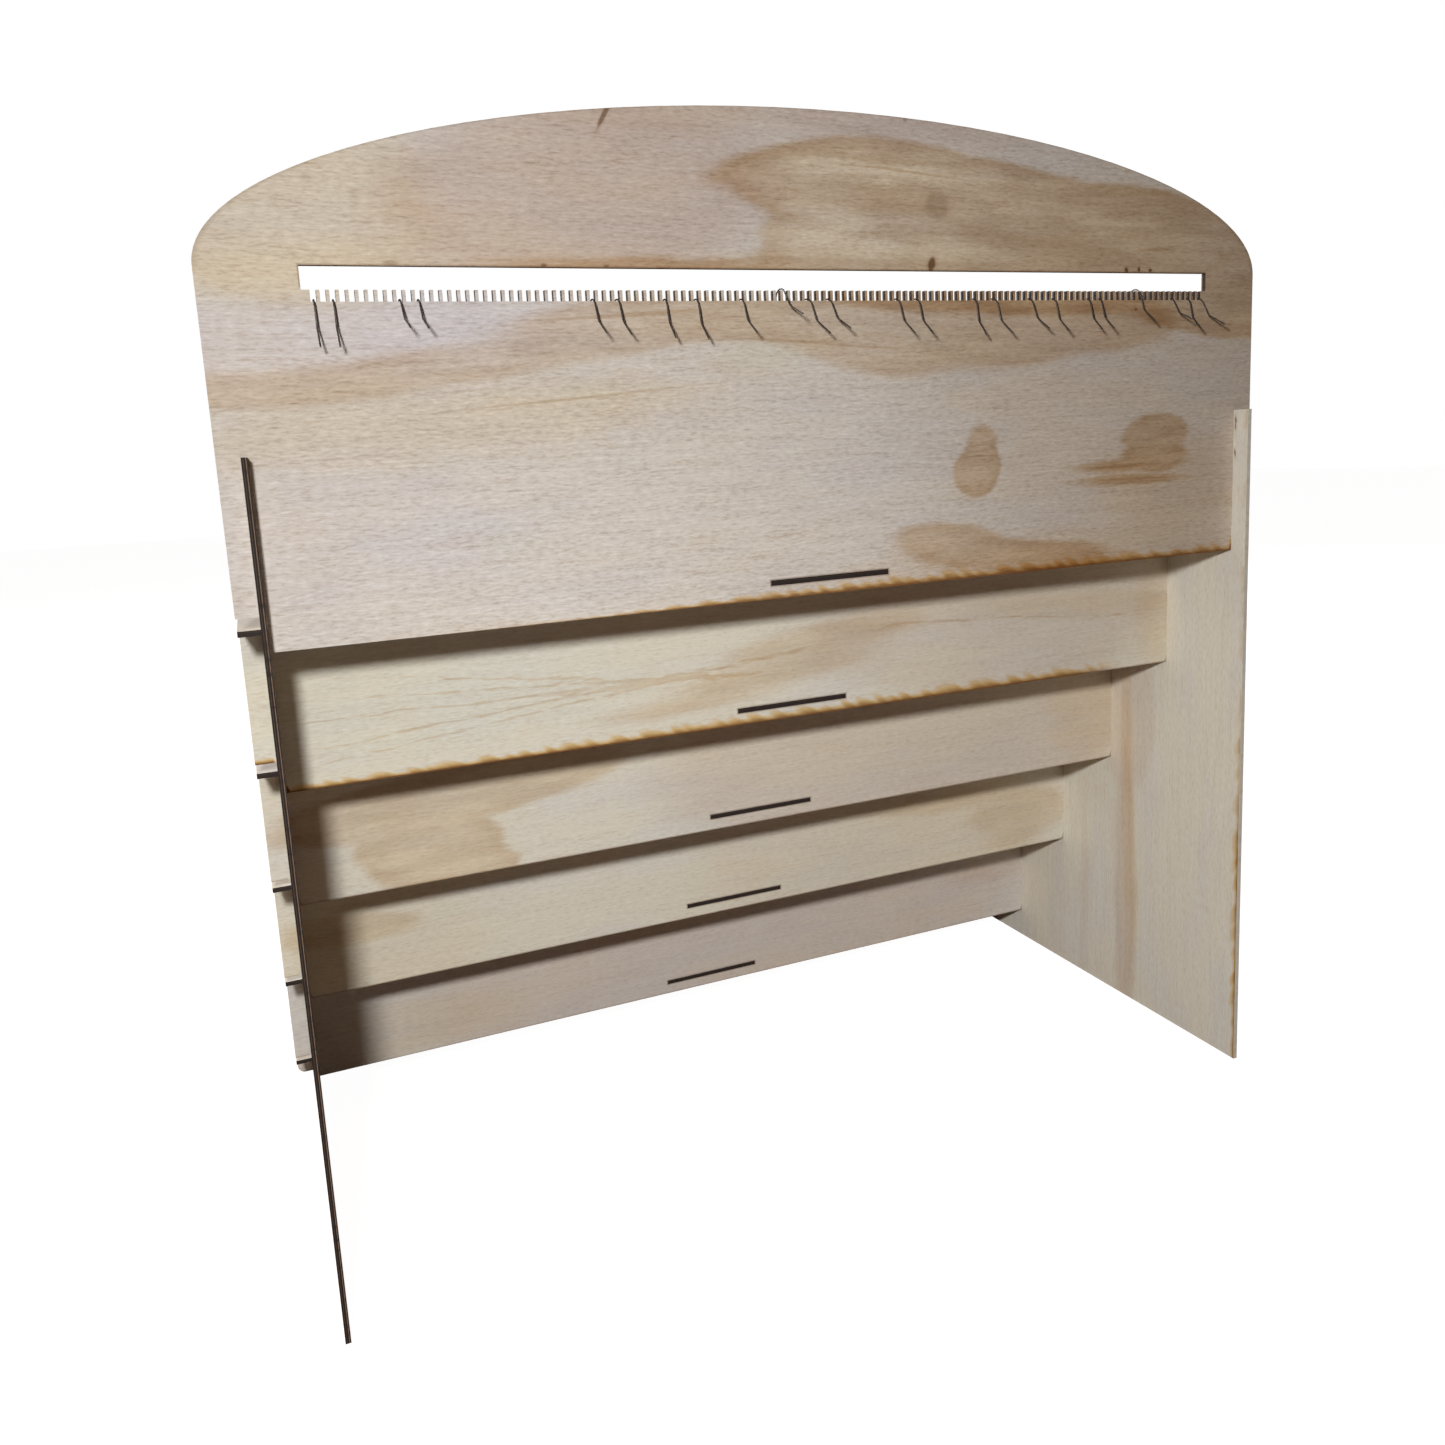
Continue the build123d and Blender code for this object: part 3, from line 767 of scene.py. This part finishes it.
class STAND_OT_stage(bpy.types.Operator):
    """Set up the pale floor, the soft light and the camera"""

    bl_idname = "stand.stage"
    bl_label = "Stage"

    def execute(self, context):
        looks, scene = context.scene.stand_stage, context.scene
        half = 8.0
        corners = [(-half, -half, 0), (half, -half, 0), (half, half, 0), (-half, half, 0)]
        plane = bpy.data.meshes.new("floor")
        plane.from_pydata(corners, [], [(0, 1, 2, 3)])
        floor = bpy.data.objects.new("floor", plane)
        scene.collection.objects.link(floor)
        graph = Graph("pale_floor")
        seen = graph.node("ShaderNodeLightPath").outputs["Is Camera Ray"]
        paint = graph.node("ShaderNodeBsdfDiffuse", None, {"Color": looks.floor})
        glow = graph.node("ShaderNodeEmission", None, {"Color": (1.0, 1.0, 1.0), "Strength": 0.98})
        both = graph.node("ShaderNodeAddShader", None, {0: paint.outputs[0], 1: glow.outputs[0]})
        shown = graph.node("ShaderNodeMixShader", None, {0: seen, 1: paint.outputs[0], 2: both.outputs[0]})
        graph.node("ShaderNodeOutputMaterial", None, {"Surface": shown.outputs[0]})
        plane.materials.append(graph.material)

        world = bpy.data.worlds.new("studio")
        world.use_nodes = True
        nodes, links = world.node_tree.nodes, world.node_tree.links
        nodes.clear()
        fill, white = nodes.new("ShaderNodeBackground"), nodes.new("ShaderNodeBackground")
        fill.inputs["Color"].default_value = (*looks.fill, 1.0)
        fill.inputs["Strength"].default_value = looks.fill_strength
        pick, path = nodes.new("ShaderNodeMixShader"), nodes.new("ShaderNodeLightPath")
        out = nodes.new("ShaderNodeOutputWorld")
        links.new(path.outputs["Is Camera Ray"], pick.inputs[0])
        links.new(fill.outputs[0], pick.inputs[1])
        links.new(white.outputs[0], pick.inputs[2])
        links.new(pick.outputs[0], out.inputs["Surface"])
        white.inputs["Color"].default_value = (1.0, 1.0, 1.0, 1.0)
        scene.world = world
        scene.view_settings.view_transform = "Standard"

        lamp_head = (-0.365, -0.636, 0.527)
        fall_gently(soft_light("key", looks.key_size, looks.key_power, lamp_head, (0.1, -0.05, 0.25)))
        fall_gently(soft_light("key_low", looks.key_size, looks.low_power, lamp_head, (0.1, 0.0, -0.27),
                               cone=math.radians(80)))
        for name, x in (("front_left", -2.2), ("front_right", 2.2)):
            soft_light(name, 1.4, looks.front_power, (x, 1.7, 1.6), (0.0, 0.1, 0.2), shape="SQUARE")

        lens = bpy.data.cameras.new("camera")
        lens.sensor_width, lens.lens = 36.0, looks.focal
        lens.shift_x, lens.shift_y = 0.0063, -0.0587
        lens.clip_start, lens.clip_end = 0.01, 50.0
        camera = bpy.data.objects.new("camera", lens)
        place = Matrix.Translation((-0.279265, -0.657197, 0.410467))
        forward = Vector((0.36462852, 0.91693857, -0.16207929))
        right = Vector((0.9246919, -0.37704052, -0.05277638))
        up = right.cross(forward)
        camera.matrix_world = place @ Matrix((right, up, -forward)).transposed().to_4x4()
        scene.collection.objects.link(camera)
        scene.camera = camera
        return {"FINISHED"}


class STAND_PT_panel(bpy.types.Panel):
    """The stand's pieces and settings"""

    bl_label = "Stepped stand"
    bl_idname = "STAND_PT_panel"
    bl_space_type = "VIEW_3D"
    bl_region_type = "UI"
    bl_category = "Stand"

    def draw(self, context):
        for operator in OPERATORS:
            self.layout.operator(operator.bl_idname)
        for group in ("stand_wood", "stand_wires", "stand_stage"):
            settings = getattr(context.scene, group)
            column = self.layout.column(align=True)
            for name in settings.bl_rna.properties.keys():
                if name not in ("rna_type", "name"):
                    column.prop(settings, name)


SETTINGS = {"stand_wood": StandWoodSettings, "stand_wires": StandWireSettings, "stand_stage": StandStageSettings}
OPERATORS = (STAND_OT_header, STAND_OT_risers, STAND_OT_sides, STAND_OT_treads, STAND_OT_wires, STAND_OT_stage)
CLASSES = (*SETTINGS.values(), *OPERATORS, STAND_PT_panel)


def register():
    for each in CLASSES:
        bpy.utils.register_class(each)
    for name, group in SETTINGS.items():
        setattr(bpy.types.Scene, name, bpy.props.PointerProperty(type=group))


def unregister():
    for name in SETTINGS:
        delattr(bpy.types.Scene, name)
    for each in reversed(CLASSES):
        bpy.utils.unregister_class(each)


def main():
    register()
    bpy.ops.stand.header()
    bpy.ops.stand.risers()
    bpy.ops.stand.sides()
    bpy.ops.stand.treads()
    bpy.ops.stand.wires()
    bpy.ops.stand.stage()


if __name__ == "__main__":
    main()
